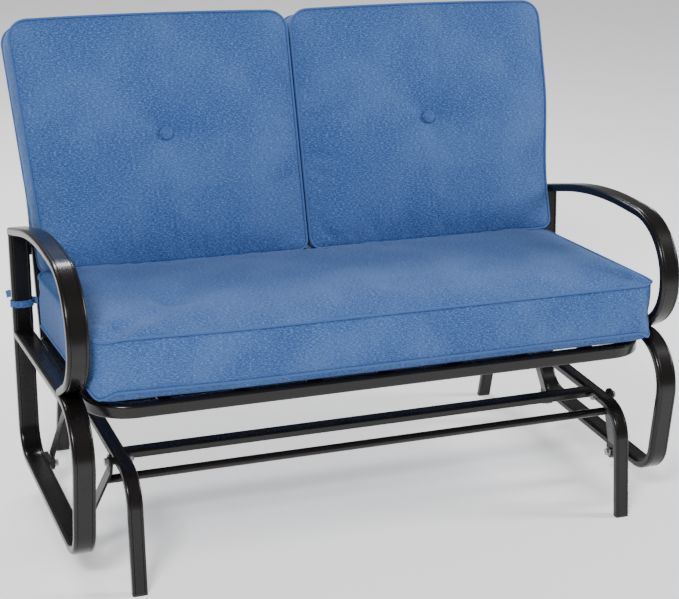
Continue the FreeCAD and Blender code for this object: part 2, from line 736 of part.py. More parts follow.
def make_back_cushions():
    """Two back cushions, narrow between the arms and a little wider above them."""
    front = -BACK_CUSHION_CROWN
    low_widen, high_widen = BACK_CUSHION_WIDENS
    outline = [
        (BACK_CUSHION_INNER, 0),
        (BACK_CUSHION_LOWER, 0),
        (BACK_CUSHION_LOWER, low_widen),
        (BACK_CUSHION_UPPER, high_widen),
        (BACK_CUSHION_UPPER, BACK_CUSHION_HEIGHT),
        (BACK_CUSHION_INNER, BACK_CUSHION_HEIGHT),
    ]
    button_x = (BACK_CUSHION_INNER + BACK_CUSHION_UPPER) / 2
    for name, side in SIDES.items():
        points = [on_back(side * x, up, front) for x, up in outline + outline[:1]]
        block = Part.Face(Part.makePolygon(points)).extrude(
            BACK_OUT * (BACK_CUSHION_THICK + BACK_CUSHION_CROWN - 0.5)
        )
        place = on_back(side * button_x, BACK_CUSHION_HEIGHT / 2, front)
        dimple = Part.makeCylinder(BUTTON_RADIUS + 3, BUTTON_HEIGHT + 6, place, BACK_OUT)
        save("back_cushion_" + name, rounded(block, 24).cut(dimple))
        seat = place + BACK_OUT * 5.5
        button = Part.makeCylinder(BUTTON_RADIUS, BUTTON_HEIGHT, seat, BACK_OUT)
        save("back_button_" + name, button)


def make_ties():
    """A flat fabric tie round each rear post, with its tail behind."""
    z = 366.0
    for name, side in SIDES.items():
        post = Vector(side * SIDE_X, post_y(z), z)
        around = SIDE_TUBE["width"] / 2 + 1
        across = SIDE_TUBE["thick"] / 2 + 2.5
        outer = box(
            post - Vector(around + TIE_THICK, across + TIE_THICK, TIE_WIDTH / 2),
            post + Vector(around + TIE_THICK, across + TIE_THICK, TIE_WIDTH / 2),
        )
        inner = box(post - Vector(around, across, TIE_WIDTH), post + Vector(around, across, TIE_WIDTH))
        tail = box(
            post + Vector(-TIE_THICK, across, -TIE_WIDTH / 2),
            post + Vector(TIE_THICK, across + 60, TIE_WIDTH / 2),
        )
        save("seat_tie_" + name, outer.fuse(tail).removeSplitter().cut(inner))


def main():
    os.makedirs("parts", exist_ok=True)
    make_base()
    make_hangers()
    make_side_frames()
    make_lower_brackets()
    make_deck()
    make_tabs_and_bolts()
    make_back_frame()
    make_back_braces()
    make_seat_cushion()
    make_back_cushions()
    make_ties()
    export_all()


main()
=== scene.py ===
# %% [markdown]
# # A two-seat patio glider
# The welded and bolted frame comes ready from the part's own model. This lesson
# loads it, paints it, and then sews everything soft round it: one long seat
# cushion, two back cushions with a covered button each, and the fabric ties.
# Every length is in metres. X runs across the seat, -Y is the front, +Z is up.

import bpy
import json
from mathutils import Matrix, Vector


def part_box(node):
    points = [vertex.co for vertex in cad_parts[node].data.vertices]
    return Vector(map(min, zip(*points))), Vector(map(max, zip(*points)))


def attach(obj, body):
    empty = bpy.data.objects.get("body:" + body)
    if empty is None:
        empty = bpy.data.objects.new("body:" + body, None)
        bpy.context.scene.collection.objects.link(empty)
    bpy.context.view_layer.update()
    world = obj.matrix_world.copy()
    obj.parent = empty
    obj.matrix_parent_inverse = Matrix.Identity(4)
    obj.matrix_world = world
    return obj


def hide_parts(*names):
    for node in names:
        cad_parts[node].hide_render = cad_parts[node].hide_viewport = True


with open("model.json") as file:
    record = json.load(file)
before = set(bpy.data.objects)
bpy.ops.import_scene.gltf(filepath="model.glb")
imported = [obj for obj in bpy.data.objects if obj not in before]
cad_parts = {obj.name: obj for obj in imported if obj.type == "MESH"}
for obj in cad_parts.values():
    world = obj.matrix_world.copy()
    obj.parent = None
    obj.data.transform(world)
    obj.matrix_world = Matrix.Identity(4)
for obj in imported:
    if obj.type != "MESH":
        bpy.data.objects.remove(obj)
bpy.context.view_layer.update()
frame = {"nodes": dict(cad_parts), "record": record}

# %% Tools used all through
import json
import math

import bmesh
import bpy
import numpy as np
from mathutils import Matrix, Vector
from mathutils.bvhtree import BVHTree

MM = 0.001
scene = bpy.context.scene


def add_object(name, mesh):
    made = bpy.data.objects.new(name, mesh)
    scene.collection.objects.link(made)
    return made


# %% [markdown]
# ## The camera
# A long lens from well back keeps the two sides of the seat nearly parallel, as in
# a catalogue picture. The camera stands a little to the left and looks down. Its
# turn is built from three plain angles, so that each can be changed alone.

# %% Camera
AZIMUTH, ELEVATION, ROLL = -22.20, 20.56, 2.216
CAMERA_PLACE = Vector((-1.1552, -2.8800, 1.5400))


def camera_turn(azimuth, elevation, roll):
    a, e, r = (math.radians(v) for v in (azimuth, elevation, roll))
    back = Vector((math.sin(a) * math.cos(e), -math.cos(a) * math.cos(e), math.sin(e)))
    level = Vector((math.cos(a), math.sin(a), 0))
    upright = back.cross(level)
    right = level * math.cos(r) + upright * math.sin(r)
    up = upright * math.cos(r) - level * math.sin(r)
    return Matrix((right, up, back)).transposed().to_4x4()


camera_data = bpy.data.cameras.new("Camera")
camera_data.sensor_width = 36.0
camera_data.lens = 88.3
camera = add_object("Camera", camera_data)
camera.matrix_world = Matrix.Translation(CAMERA_PLACE) @ camera_turn(AZIMUTH, ELEVATION, ROLL)
scene.camera = camera
print("camera", tuple(round(v, 3) for v in CAMERA_PLACE), "lens", camera_data.lens)

# %% [markdown]
# ## Maths in materials
# A material is a graph of nodes, but a formula reads best as a formula. One small
# class wraps a socket and overloads the operators, so that `1 - mask * 0.3` adds
# its own Math nodes. Everything else comes from one method, `node`.

# %% A small language for materials
class Value:
    """A number that varies over a surface."""

    def __init__(self, paint, socket):
        self.paint = paint
        self.socket = socket

    def _math(self, operation, *values):
        return self.paint.node("ShaderNodeMath", {"operation": operation}, *values)

    def __add__(self, other):
        return self._math("ADD", self, other)

    def __radd__(self, other):
        return self._math("ADD", other, self)

    def __sub__(self, other):
        return self._math("SUBTRACT", self, other)

    def __rsub__(self, other):
        return self._math("SUBTRACT", other, self)

    def __mul__(self, other):
        return self._math("MULTIPLY", self, other)

    def __rmul__(self, other):
        return self._math("MULTIPLY", other, self)

    def between(self, low, high):
        """0 below low, 1 above high, smooth in between."""
        ramp = {"interpolation_type": "SMOOTHSTEP"}
        return self.paint.node("ShaderNodeMapRange", ramp, self, low, high, 0.0, 1.0)


class Paint:
    """One material with its Principled shader, and a short way to add nodes to it."""

    def __init__(self, name, **constants):
        self.material = bpy.data.materials.new(name)
        self.material.use_nodes = True
        self.tree = self.material.node_tree
        self.shader = self.tree.nodes["Principled BSDF"]
        for socket, value in constants.items():
            self.shader.inputs[socket.replace("_", " ")].default_value = value

    def node(self, kind, settings, *values, output=0):
        made = self.tree.nodes.new(kind)
        for key, setting in settings.items():
            setattr(made, key, setting)
        for place, value in enumerate(values):
            self.plug(made.inputs[place], value)
        return Value(self, made.outputs[output])

    def plug(self, socket, value):
        if isinstance(value, Value):
            self.tree.links.new(value.socket, socket)
        elif value is not None:
            socket.default_value = value

    def set(self, socket, value):
        self.plug(self.shader.inputs[socket], value)

    def place(self, uv=False):
        kind = "UV" if uv else "Object"
        coordinates = self.tree.nodes.new("ShaderNodeTexCoord")
        return Value(self, coordinates.outputs[kind])

    def stretched(self, vector, scale):
        return self.node("ShaderNodeMapping", {}, vector, None, None, scale)

    def noise(self, vector, scale, detail=2.0, roughness=0.5):
        settings = {"noise_dimensions": "3D"}
        return self.node("ShaderNodeTexNoise", settings, vector, None, scale, detail, roughness)

    def mix(self, factor, first, second):
        made = self.tree.nodes.new("ShaderNodeMix")
        made.data_type = "RGBA"
        self.plug(made.inputs["Factor"], factor)
        self.plug(made.inputs[6], first)
        self.plug(made.inputs[7], second)
        return Value(self, made.outputs[2])

    def bump(self, height, strength, distance):
        made = self.tree.nodes.new("ShaderNodeBump")
        made.inputs["Strength"].default_value = strength
        made.inputs["Distance"].default_value = distance
        self.plug(made.inputs["Height"], height)
        self.set("Normal", Value(self, made.outputs["Normal"]))


def rgb(red, green, blue):
    return (red, green, blue, 1.0)


# %% [markdown]
# ## Powder coat
# The frame is steel with a baked powder coat, nearly black with a breath of brown.
# Powder melts into a faint orange-peel skin, so the highlights along the tubes are
# soft streaks. A fine noise drives the bump and a slow one the roughness.

# %% Powder coat on the steel
COAT_DARK = rgb(0.0035, 0.0028, 0.0025)
COAT_PALE = rgb(0.0075, 0.006, 0.0055)


def powder_coat():
    paint = Paint("Powder coat", Coat_Weight=0.2, Coat_Roughness=0.12, IOR=1.35)
    place = paint.place()
    slow = paint.noise(place, 9.0, 3.0)
    fine = paint.noise(place, 420.0, 2.0)
    paint.set("Base Color", paint.mix(slow, COAT_DARK, COAT_PALE))
    paint.set("Roughness", 0.21 + slow * 0.08 + fine * 0.05)
    paint.bump(fine, 0.12, 0.0006)
    return paint.material


powder = powder_coat()
print("made", powder.name)

# %% [markdown]
# ## Zinc, nylon and plastic
# Bolts and nuts are zinc plated: a bright metal, dulled in spots where the plating
# crystallised. The bushes are black nylon, the foot caps a slightly grey plastic
# with a fine grain.

# %% Small hardware finishes
def zinc_plate():
    paint = Paint("Zinc plate", Metallic=1.0)
    place = paint.place()
    spots = paint.noise(place, 260.0, 3.0)
    paint.set("Base Color", paint.mix(spots, rgb(0.30, 0.29, 0.28), rgb(0.52, 0.51, 0.49)))
    paint.set("Roughness", 0.28 + spots * 0.22)
    paint.bump(spots, 0.15, 0.0003)
    return paint.material


def moulded_plastic(name, dark, pale, roughness):
    paint = Paint(name, IOR=1.46)
    grain = paint.noise(paint.place(), 700.0, 2.0)
    paint.set("Base Color", paint.mix(grain, dark, pale))
    paint.set("Roughness", roughness + grain * 0.15)
    paint.bump(grain, 0.2, 0.0002)
    return paint.material


zinc = zinc_plate()
nylon = moulded_plastic(
    "Bush nylon", rgb(0.012, 0.012, 0.012), rgb(0.03, 0.03, 0.03), 0.4
)
foot_plastic = moulded_plastic(
    "Foot cap plastic", rgb(0.01, 0.01, 0.01), rgb(0.03, 0.03, 0.03), 0.5
)

# %% [markdown]
# ## Woven cushion cloth
# The cloth is a melange weave: mid-blue yarns with lighter and darker slubs that
# run along the weft. The pattern follows each panel's own UV map, which is laid out
# in metres, so the yarns turn with the cloth round the sides of a cushion.

# %% Cushion cloth
CLOTH_DEEP = rgb(0.016, 0.055, 0.185)
CLOTH_BLUE = rgb(0.048, 0.122, 0.345)
CLOTH_FLECK = rgb(0.160, 0.285, 0.570)


def woven_cloth(name, painted_highlight):
    """Blue melange cloth. The last argument paints the whole cloth a little paler: a painted
    highlight, used for the piping cord.
    """
    paint = Paint(name, Sheen_Weight=0.08, Sheen_Roughness=0.45, IOR=1.4)
    paint.shader.inputs["Sheen Tint"].default_value = rgb(0.75, 0.85, 1.0)
    cloth = paint.place(uv=True)
    weft = paint.noise(paint.stretched(cloth, (170.0, 600.0, 1.0)), 1.0, 3.0, 0.65)
    warp = paint.noise(paint.stretched(cloth, (680.0, 180.0, 1.0)), 1.0, 2.0, 0.6)
    slow = paint.noise(cloth, 7.0, 2.0)
    tone = (weft * 0.55 + warp * 0.45).between(0.42, 0.58)
    # A painted highlight raises the tone towards the paler blue; the piping uses it, the
    # cushion cloth does not.
    ground = paint.mix(tone * (1 - painted_highlight) + painted_highlight, CLOTH_DEEP, CLOTH_BLUE)
    flecks = weft.between(0.55, 0.68) * 0.75
    speckled = paint.mix(flecks, ground, CLOTH_FLECK)
    worn = paint.mix(slow.between(0.35, 0.75) * 0.16, speckled, CLOTH_FLECK)
    paint.set("Base Color", worn)
    paint.set("Roughness", 0.78 + tone * 0.12)
    paint.bump(weft * 0.5 + warp * 0.5, 0.35, 0.0012)
    return paint.material


cloth = woven_cloth("Cushion cloth", 0.0)
# The piping is the cushion's own cloth, painted paler by 0.35 as a painted highlight along the
# cord.
piping_painted_highlight_cloth = woven_cloth("Piping cloth, painted highlight", 0.35)
print("made", cloth.name, "and", piping_painted_highlight_cloth.name)

# %% [markdown]
# ## Paint the frame
# The record names one finish for each piece of the frame, so painting is a lookup.

# %% Give each frame piece its finish
FINISHES = {
    "frame_paint": powder,
    "fastener_steel": zinc,
    "bush_nylon": nylon,
    "foot_plastic": foot_plastic,
    "cushion_fabric": cloth,
    "tie_fabric": cloth,
}
for subpart in frame["record"]["subparts"]:
    mesh = frame["nodes"][subpart["node"]].data
    mesh.materials.clear()
    mesh.materials.append(FINISHES[subpart["material_slot"]])

# %% [markdown]
# ## Panels of a boxed cushion
# A boxed cushion is sewn from a top panel, a bottom panel and a long side strip,
# the gusset, with piping in both seams. The mesh is laid out the same way, so the
# seams lie on real edges: a grid for each panel, and rows between their borders.
# Rounding a corner pushes the grid's corner cells from a square into a quarter disc.

# %% A cushion's panels
def round_corner(p, q, half_p, half_q, radius):
    s = max(0.0, abs(p) - (half_p - radius)) / radius
    t = max(0.0, abs(q) - (half_q - radius)) / radius
    if s == 0.0 or t == 0.0:
        return p, q
    across = half_p - radius + radius * s * math.sqrt(1 - t * t / 2)
    along = half_q - radius + radius * t * math.sqrt(1 - s * s / 2)
    return math.copysign(across, p), math.copysign(along, q)


def swell(p, q, half_p, half_q, reach):
    """0 at a panel's border, nearly 1 further in than its reach."""
    gap_p = max(0.0, half_p - abs(p)) / reach
    gap_q = max(0.0, half_q - abs(q)) / reach
    return (1 - math.exp(-gap_p)) * (1 - math.exp(-gap_q))


def border_cells(columns, rows):
    around = [(i, 0) for i in range(columns)]
    around += [(columns, j) for j in range(rows)]
    around += [(columns - i, rows) for i in range(columns)]
    around += [(0, rows - j) for j in range(rows)]
    return around


def boxed_cushion(name, size, cell, gusset_rows, radii, top, bottom, place):
    """A closed cushion mesh; top and bottom give each panel's height at (p, q).

    The radii are those of the corners at the low and at the high end of q.
    """
    half_p, half_q = size[0] / 2, size[1] / 2
    columns, rows = round(size[0] / cell), round(size[1] / cell)
    sheet = bmesh.new()
    uv = sheet.loops.layers.uv.new("UVMap")
    flat = {}
    for i in range(columns + 1):
        for j in range(rows + 1):
            p, q = (2 * i / columns - 1) * half_p, (2 * j / rows - 1) * half_q
            flat[i, j] = round_corner(p, q, half_p, half_q, radii[0] if q < 0 else radii[1])
    panels = []
    for height in (top, bottom):
        panels.append({
            key: sheet.verts.new(place(p, q, height(p, q))) for key, (p, q) in flat.items()
        })

    def face(verts, where):
        made = sheet.faces.new(verts)
        made.smooth = True
        for loop, point in zip(made.loops, where):
            loop[uv].uv = point

    for i in range(columns):
        for j in range(rows):
            keys = [(i, j), (i + 1, j), (i + 1, j + 1), (i, j + 1)]
            face([panels[0][k] for k in keys], [flat[k] for k in keys])
            keys.reverse()
            shifted = [(flat[k][0] + 3.0, flat[k][1]) for k in keys]
            face([panels[1][k] for k in keys], shifted)
    around = border_cells(columns, rows)
    strips = [[panels[0][k] for k in around]]
    for row in range(1, gusset_rows):
        share = row / gusset_rows
        level = [panels[0][k].co.lerp(panels[1][k].co, share) for k in around]
        strips.append([sheet.verts.new(point) for point in level])
    strips.append([panels[1][k] for k in around])
    lengths = [0.0]
    for k, following in zip(around, around[1:] + around[:1]):
        lengths.append(lengths[-1] + (Vector(flat[k]) - Vector(flat[following])).length)
    depth = (strips[0][0].co - strips[-1][0].co).length
    for row in range(gusset_rows):
        upper, lower = row / gusset_rows * depth, (row + 1) / gusset_rows * depth
        for k in range(len(around)):
            n = (k + 1) % len(around)
            corners = [strips[row][k], strips[row + 1][k], strips[row + 1][n], strips[row][n]]
            here, there = lengths[k], lengths[k + 1]
            face(corners, [(here, -upper), (here, -lower), (there, -lower), (there, -upper)])
    sheet.verts.index_update()
    seams = [[vert.index for vert in strips[0]], [vert.index for vert in strips[-1]]]
    mesh = bpy.data.meshes.new(name)
    sheet.to_mesh(mesh)
    sheet.free()
    mesh.materials.append(cloth)
    return add_object(name, mesh), seams


# %% [markdown]
# ## Stuffing
# Foam and wadding press the panels out while the seams hold their line. Blender's
# cloth does the same: the seams are pinned, pressure fills the closed form, and a
# little extra cloth gives the fine puckers. The result is read back, each point's
# move is limited, and the simulation is taken off again.

# %% Stuff a cushion by simulation
STEPS = 20
PRESSURE = 4.0
SLACK = 0.012
GUSSET_ROWS = 10


def coordinates(mesh):
    flat = np.zeros(len(mesh.vertices) * 3)
    mesh.vertices.foreach_get("co", flat)
    return flat.reshape(-1, 3)


def stuff(piece, held, limit):
    before = coordinates(piece.data)
    piece.vertex_groups.new(name="held").add(held, 1.0, "REPLACE")
    cloth_modifier = piece.modifiers.new("Stuffing", "CLOTH")
    settings = cloth_modifier.settings
    settings.quality = 6
    settings.mass = 0.25
    settings.tension_stiffness = 30.0
    settings.compression_stiffness = 30.0
    settings.shear_stiffness = 12.0
    settings.bending_stiffness = 1.2
    settings.shrink_min = -SLACK
    settings.use_pressure = True
    settings.uniform_pressure_force = PRESSURE
    settings.vertex_group_mass = "held"
    settings.effector_weights.gravity = 0.0
    cloth_modifier.collision_settings.use_collision = False
    cloth_modifier.point_cache.frame_start = 1
    cloth_modifier.point_cache.frame_end = STEPS
    for step in range(1, STEPS + 1):
        scene.frame_set(step)
    shaped = piece.evaluated_get(bpy.context.evaluated_depsgraph_get())
    move = coordinates(shaped.data) - before
    length = np.linalg.norm(move, axis=1, keepdims=True) + 1e-9
    after = before + move * (limit * np.tanh(length / limit) / length)
    piece.modifiers.remove(cloth_modifier)
    piece.vertex_groups.clear()
    scene.frame_set(1)
    print(piece.name, "moved up to", round(float(length.max()) / MM, 1), "mm before the limit")
    return after


def write_back(piece, points):
    piece.data.vertices.foreach_set("co", np.asarray(points, dtype=np.float32).ravel())
    piece.data.update()


def finish_cushion(piece, node):
    smooth = piece.modifiers.new("Smooth", "SUBSURF")
    smooth.levels = 1
    smooth.render_levels = 1
    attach(piece, "seat")
    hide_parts(node)


# %% [markdown]
# ## The seat cushion
# It lies on the deck, which slopes down a little to the rear. It is flat under-
# neath where the slats carry it, its lower seam hangs free of the rail, and its top
# is crowned. Use has left creases near the front corners, pressed in after stuffing.

# %% Build and stuff the seat cushion
deck_low, deck_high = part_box("seat_deck_ring")
SLOPE = 0.08
DECK_TILT = math.atan(SLOPE)
DECK_TOP = 12.5 * MM
deck_centre_y = (deck_low.y + deck_high.y) / 2
deck_centre_z = (deck_low.z + deck_high.z) / 2
SEAT_SIZE = (1.100, 0.474)
SEAT_SET_BACK = -10 * MM
END_LIFT = 5 * MM
SEAT_CORNERS = (0.042, 0.045)
SEAT_PUFF = 9 * MM
UNDERSIDE_PUFF = 0.2
TOP_RISE = 11 * MM
TOP_CROWN = 7 * MM
SEAT_STRETCH = 1.012
ARM_INSIDE = 0.5572
SEAT_LOWER_SEAM = 38 * MM
SEAT_CELL = 9.2 * MM
SEAT_UPPER_SEAM = 133 * MM
seat_half = (SEAT_SIZE[0] / 2, SEAT_SIZE[1] / 2)


def smooth_step(value, low, high):
    share = min(1.0, max(0.0, (value - low) / (high - low)))
    return share * share * (3 - 2 * share)


def on_deck(p, q, height):
    """A point by its place on the deck: across, back from its middle, and above it."""
    across = q + SEAT_SET_BACK
    height += END_LIFT * smooth_step(-p, 0.25, seat_half[0])
    y = across * math.cos(DECK_TILT) + height * math.sin(DECK_TILT)
    z = height * math.cos(DECK_TILT) - across * math.sin(DECK_TILT)
    return Vector((p * SEAT_STRETCH, deck_centre_y + y, deck_centre_z + z))


def crease(p, q, start, end, width, depth):
    """A valley along a line, deepest at its start and gone at its end."""
    run = Vector(end) - Vector(start)
    away = Vector((p, q)) - Vector(start)
    share = min(1.0, max(0.0, away.dot(run) / run.length_squared))
    gap = (away - run * share).length / width
    return depth * (1 - 0.85 * share) * math.exp(-gap * gap)


TOP_CREASES = (
    ((-0.525, -0.215), (-0.405, -0.145), 0.017, 18 * MM),
    ((-0.365, -0.080), (-0.310, -0.010), 0.040, 18 * MM),
    ((0.525, -0.205), (0.440, -0.140), 0.016, 12 * MM),
)


def seat_top(p, q):
    edge = swell(p, q, *seat_half, 0.018)
    crown = (1 - (p / seat_half[0]) ** 2) * (1 - (q / seat_half[1]) ** 2)
    return SEAT_UPPER_SEAM + TOP_RISE * edge + TOP_CROWN * crown


def seat_bottom(p, q):
    edge = swell(p, q, *seat_half, 0.010)
    return SEAT_LOWER_SEAM - (SEAT_LOWER_SEAM - DECK_TOP - 0.6 * MM) * edge


seat_cushion, seat_seams = boxed_cushion(
    "Long_cushion", SEAT_SIZE, SEAT_CELL, GUSSET_ROWS, SEAT_CORNERS,
    seat_top, seat_bottom, on_deck,
)
print("seat cushion", len(seat_cushion.data.vertices), "points")

# %% Let it settle on the deck and between the arms
DECK_LIFT = np.array((0, math.sin(DECK_TILT), math.cos(DECK_TILT)))
DECK_ORIGIN = np.array((0, deck_centre_y, deck_centre_z))
DECK_BACK = np.array((0, math.cos(DECK_TILT), -math.sin(DECK_TILT)))


def off_deck(points, least):
    """Lifts points that sank below a height over the deck."""
    height = (points - DECK_ORIGIN) @ DECK_LIFT
    sunk = np.maximum(0.0, least - height)
    return points + sunk[:, None] * DECK_LIFT


def press_creases(points, panel_size):
    """Presses the creases into the top panel, whose points come first."""
    for index in range(panel_size):
        p = points[index, 0] / SEAT_STRETCH
        q = float((points[index] - DECK_ORIGIN) @ DECK_BACK) - SEAT_SET_BACK
        for start, end, width, depth in TOP_CREASES:
            points[index] -= crease(p, q, start, end, width, depth) * DECK_LIFT
    return points


held = seat_seams[0] + seat_seams[1]
sewn = coordinates(seat_cushion.data)
points = stuff(seat_cushion, held, SEAT_PUFF)
panel_size = (round(SEAT_SIZE[0] / SEAT_CELL) + 1) * (round(SEAT_SIZE[1] / SEAT_CELL) + 1)
under = slice(panel_size, 2 * panel_size)
points[under] = sewn[under] + UNDERSIDE_PUFF * (points[under] - sewn[under])
points = press_creases(off_deck(points, DECK_TOP + 0.5 * MM), panel_size)
points[:, 0] = np.clip(points[:, 0], -ARM_INSIDE, ARM_INSIDE)
write_back(seat_cushion, points)
seat_surface = BVHTree.FromObject(seat_cushion, bpy.context.evaluated_depsgraph_get())
finish_cushion(seat_cushion, "seat_cushion")

# %% [markdown]
# ## The back cushions
# Each one stands on the seat cushion and leans on the upright bars. It is narrower
# between the arms and a little wider above them, crowned in front, and drawn in at
# the middle by its button, from which short creases run out.

# %% Build and stuff the back cushions
RECLINE = math.radians(20.8)
BACK_UP = Vector((0, math.sin(RECLINE), math.cos(RECLINE)))
BACK_OUT = Vector((0, math.cos(RECLINE), -math.sin(RECLINE)))
BACK_SIZE = (0.5650, 0.4870)
BACK_FOOT = -16 * MM
BACK_ARCH = 4 * MM
BACK_CELL = 8 * MM
BACK_CORNERS = (0.022, 0.038)
BACK_PUFF = 8 * MM
BACK_RISE = 12 * MM
MIDDLE_GAP = 0.8 * MM
CLEARANCE = 0.6 * MM
BUTTON_TIE = 13 * MM
BACK_DEPTH = 85 * MM
BACK_CROWN = 24 * MM
back_half = (BACK_SIZE[0] / 2, BACK_SIZE[1] / 2)
BACK_ZERO = Vector((0, 0.185 - 0.0570523, 0.456))
BUTTON_AT = (0.0, 0.0095)


def back_place(side):
    def place(p, q, height):
        up = q + back_half[1] + BACK_FOOT
        up += BACK_ARCH * (1 - (p / back_half[0]) ** 2) * smooth_step(q, 0, back_half[1])
        if side < 0:
            outer = 0.540 + 0.030 * min(1.0, max(0.0, up / 0.46))
        else:
            outer = 0.553 + 0.019 * smooth_step(up, 0.07, 0.30)
        inner = 0.0045
        across = (p * side / back_half[0] + 1) / 2
        x = inner + (outer - inner) * across
        return BACK_ZERO + Vector((side * x, 0, 0)) + BACK_UP * up - BACK_OUT * height
    return place


def back_front(p, q):
    edge = swell(p, q, *back_half, 0.020)
    crown = (1 - (p / back_half[0]) ** 2) * (1 - (q / back_half[1]) ** 2)
    height = BACK_RISE * edge + (BACK_CROWN - BACK_RISE) * crown
    away_p, away_q = p - BUTTON_AT[0], q - BUTTON_AT[1]
    away = math.hypot(away_p, away_q)
    around = math.atan2(away_q, away_p)
    creases = math.cos(5 * around + 0.6) * math.exp(-((away - 0.035) / 0.026) ** 2)
    height -= 15 * MM * math.exp(-((away / 0.034) ** 2)) + 1.6 * MM * creases
    return height


def back_rear(p, q):
    edge = swell(p, q, *back_half, 0.020)
    return -(BACK_DEPTH - 9 * MM) - 8.2 * MM * edge


def off_bars(points):
    """Pushes points that reached into the bars forward again."""
    out = np.array(BACK_OUT)
    depth = (points - np.array(BACK_ZERO)) @ out
    over = np.maximum(0.0, depth - (BACK_DEPTH + 0.3 * MM))
    return points - over[:, None] * out


def off_seat(points):
    """Lifts points that sank into the seat cushion."""
    up = Vector((0, 0, 1))
    for index, point in enumerate(points):
        if point[2] > 0.50:
            continue
        hit = seat_surface.ray_cast(Vector((point[0], point[1], 0.60)), -up)
        if hit[0] is not None and point[2] < hit[0].z + CLEARANCE:
            points[index, 2] = hit[0].z + CLEARANCE
    return points


back_cushions = {}
for name, side in (("left", -1), ("right", 1)):
    piece, seams = boxed_cushion(
        "Back_cushion_" + name, BACK_SIZE, BACK_CELL, GUSSET_ROWS, BACK_CORNERS,
        back_front, back_rear, back_place(side),
    )
    button_centre = back_place(side)(*BUTTON_AT, 0.0)
    out = np.array(BACK_OUT)
    from_button = coordinates(piece.data) - np.array(button_centre)
    sideways = from_button - (from_button @ out)[:, None] * out
    front = from_button @ out < 0.02
    tied = np.where((np.linalg.norm(sideways, axis=1) < BUTTON_TIE) & front)[0]
    held = seams[0] + seams[1] + [int(i) for i in tied]
    points = stuff(piece, held, BACK_PUFF)
    points = off_seat(off_bars(points))
    points[:, 0] = side * np.maximum(side * points[:, 0], MIDDLE_GAP)
    write_back(piece, points)
    skin = BVHTree.FromObject(piece, bpy.context.evaluated_depsgraph_get())
    hit = skin.ray_cast(button_centre - BACK_OUT * 0.2, BACK_OUT)
    back_cushions[name] = (piece, seams, hit[0] if hit[0] is not None else button_centre)
    finish_cushion(piece, "back_cushion_" + name)

# %% [markdown]
# ## Piping
# Piping is a cord wrapped in the same cloth and caught in a seam. It follows a path
# that is known exactly, the seam's own edge loop, which is what Geometry Nodes do
# well: the loop becomes a curve, the curve is resampled, and a circle runs along it.

# %% Piping by Geometry Nodes
def path_tree(name, material):
    """A node tree that runs a round section along every loop of edges."""
    tree = bpy.data.node_groups.new(name, "GeometryNodeTree")
    face = tree.interface
    face.new_socket("Geometry", in_out="INPUT", socket_type="NodeSocketGeometry")
    radius = face.new_socket("Radius", in_out="INPUT", socket_type="NodeSocketFloat")
    spacing = face.new_socket("Spacing", in_out="INPUT", socket_type="NodeSocketFloat")
    face.new_socket("Geometry", in_out="OUTPUT", socket_type="NodeSocketGeometry")

    def add(kind, **settings):
        node = tree.nodes.new(kind)
        for key, value in settings.items():
            setattr(node, key, value)
        return node

    start, end = add("NodeGroupInput"), add("NodeGroupOutput")
    curve = add("GeometryNodeMeshToCurve")
    resample = add("GeometryNodeResampleCurve", mode="LENGTH")
    circle = add("GeometryNodeCurvePrimitiveCircle")
    circle.inputs["Resolution"].default_value = 10
    tube = add("GeometryNodeCurveToMesh")
    smooth = add("GeometryNodeSetShadeSmooth")
    realize = add("GeometryNodeRealizeInstances")
    colour = add("GeometryNodeSetMaterial")
    colour.inputs["Material"].default_value = material
    link = tree.links.new
    link(start.outputs["Geometry"], curve.inputs["Mesh"])
    link(curve.outputs["Curve"], resample.inputs["Curve"])
    link(start.outputs["Spacing"], resample.inputs["Length"])
    link(start.outputs["Radius"], circle.inputs["Radius"])
    link(resample.outputs["Curve"], tube.inputs["Curve"])
    link(circle.outputs["Curve"], tube.inputs["Profile Curve"])
    link(tube.outputs["Mesh"], smooth.inputs["Geometry"])
    link(smooth.outputs["Geometry"], realize.inputs["Geometry"])
    link(realize.outputs["Geometry"], colour.inputs["Geometry"])
    link(colour.outputs["Geometry"], end.inputs["Geometry"])
    return tree, radius.identifier, spacing.identifier


def settle_modifier(piece):
    """Turns a piece and its live modifiers into one plain mesh."""
    bpy.context.view_layer.update()
    shaped = piece.evaluated_get(bpy.context.evaluated_depsgraph_get())
    plain = bpy.data.meshes.new_from_object(shaped)
    piece.modifiers.clear()
    piece.data = plain


# The cord takes the paler copy of the cloth: a painted highlight along the piping.
piping_tree, RADIUS_INPUT, SPACING_INPUT = path_tree("Run a cord along a seam", piping_painted_highlight_cloth)
PIPING_RADIUS = 2.4 * MM
PIPING_SPACING = 5 * MM


def sew_piping(name, cushion, seams):
    source = cushion.data
    points, edges = [], []
    for seam in seams:
        first = len(points)
        for index in seam:
            vertex = source.vertices[index]
            points.append(vertex.co + vertex.normal * (0.6 * MM))
        edges += [(first + k, first + (k + 1) % len(seam)) for k in range(len(seam))]
    mesh = bpy.data.meshes.new(name)
    mesh.from_pydata(points, edges, [])
    piece = add_object(name, mesh)
    modifier = piece.modifiers.new("Cord", "NODES")
    modifier.node_group = piping_tree
    modifier[RADIUS_INPUT] = PIPING_RADIUS
    modifier[SPACING_INPUT] = PIPING_SPACING
    settle_modifier(piece)
    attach(piece, "seat")
    print(name, len(piece.data.polygons), "faces")
    return piece


sew_piping("Long_piping", seat_cushion, seat_seams)
for name, (piece, seams, centre) in back_cushions.items():
    sew_piping("Back_piping_" + name, piece, seams)

# %% [markdown]
# ## Covered buttons
# A covered button is a low dome of cloth pulled over a disc. Its edge is gathered
# in small pleats. One profile turned round an axis makes it, with the pleats as a
# ripple that grows towards the rim.

# %% Turn the two buttons
BUTTON_RADIUS = 14 * MM
BUTTON_RISE = 6 * MM
BUTTON_SIT = 4 * MM
BUTTON_RINGS, BUTTON_STEPS, PLEATS = 12, 72, 18


